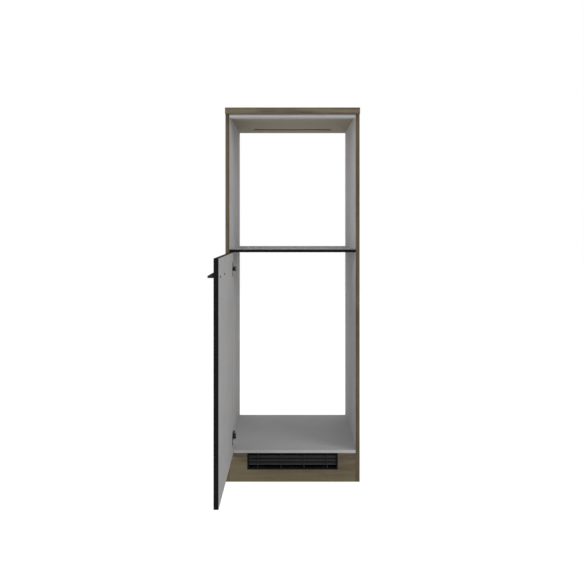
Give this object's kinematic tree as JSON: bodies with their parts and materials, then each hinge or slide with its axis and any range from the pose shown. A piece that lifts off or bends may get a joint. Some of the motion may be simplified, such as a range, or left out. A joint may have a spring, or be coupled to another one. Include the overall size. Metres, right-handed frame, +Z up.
{
  "type": "appliance housing cabinet",
  "caption": "Tall kitchen cabinet with an open oven niche above, a fridge niche with a hinged door below, a vented plinth and a top with a ventilation slot.",
  "frame": {"origin": "middle of the plinth's underside, on the floor", "axes": "+Z up, +Y from the front to the wall behind, +X to the right as seen from the front; the door is stored open at a right angle"},
  "size_m": [0.6117, 1.1947, 1.669],
  "materials": {
    "wood_decor_board": "chipboard with a matt grey-brown wood decor outside and light grey melamine inside",
    "wood_decor_edging": "matt printed edge strip in the same wood decor",
    "light_grey_board": "chipboard with satin light grey melamine",
    "door_board": "board with light grey melamine inside and a matt black face outside",
    "black_edging": "matt black edge strip",
    "black_moulded_plastic": "black moulded plastic with a fine texture",
    "black_handle_metal": "matt black powder coat on zinc alloy",
    "nickel_plated_steel": "nickel-plated pressed steel",
    "dark_link_steel": "dark phosphated steel",
    "zinc_plated_steel": "bright zinc-plated steel",
    "beech_dowel": "plain fluted beech",
    "light_grey_cap": "light grey plastic cap",
    "clear_bumper": "soft clear polyurethane"
  },
  "bodies": {
    "carcass": {"left_side_panel": "wood_decor_board", "right_side_panel": "wood_decor_board", "side_edge_bands": "wood_decor_edging", "top_panel": "wood_decor_board", "front_top_rail": "light_grey_board", "oven_shelf": "light_grey_board", "shelf_front_edge": "black_edging", "bottom_panel": "light_grey_board", "plinth_panel": "wood_decor_board", "ventilation_grille": "black_moulded_plastic", "plinth_brackets": "zinc_plated_steel", "bracket_screws": "zinc_plated_steel", "panel_dowels": "beech_dowel", "cam_locks": "zinc_plated_steel", "cam_bolts": "zinc_plated_steel", "cam_cover_caps": "light_grey_cap", "hinge_mounting_plates": "nickel_plated_steel", "plate_screws": "zinc_plated_steel", "hinge_arms": "nickel_plated_steel", "arm_pins": "zinc_plated_steel", "arm_screws": "zinc_plated_steel", "arm_springs": "zinc_plated_steel"},
    "inner_link_pair": {"inner_links": "nickel_plated_steel"},
    "door": {"hinge_cups": "nickel_plated_steel", "cup_pins": "zinc_plated_steel", "cup_screws": "zinc_plated_steel", "door_panel": "door_board", "door_edge_band": "black_edging", "door_handle": "black_handle_metal", "handle_screws": "zinc_plated_steel", "door_bumpers": "clear_bumper"},
    "outer_link_pair": {"outer_links": "dark_link_steel"}
  },
  "joints": [
    {"name": "door_swing", "type": "hinge", "parent": "carcass", "child": "inner_link_pair", "pos_m": [-0.266, 0.009, 0.5745], "axis": [0, 0, 1], "range_deg": [-38, 4.15]},
    {"name": "door_turn", "type": "hinge", "parent": "inner_link_pair", "child": "door", "pos_m": [-0.2687, -0.02166, 0.5745], "axis": [0, 0, 1], "range_deg": [-14, 128.01]},
    {"name": "outer_link_turn", "type": "hinge", "parent": "door", "child": "outer_link_pair", "pos_m": [-0.2687, -0.02766, 0.5745], "axis": [0, 0, 1], "range_deg": [-128.01, 14]}
  ],
  "couplings": [
    {"joint": "door_turn", "follows": "door_swing", "ratio": -3.3684},
    {"joint": "outer_link_turn", "follows": "door_swing", "ratio": 3.3684}
  ]
}
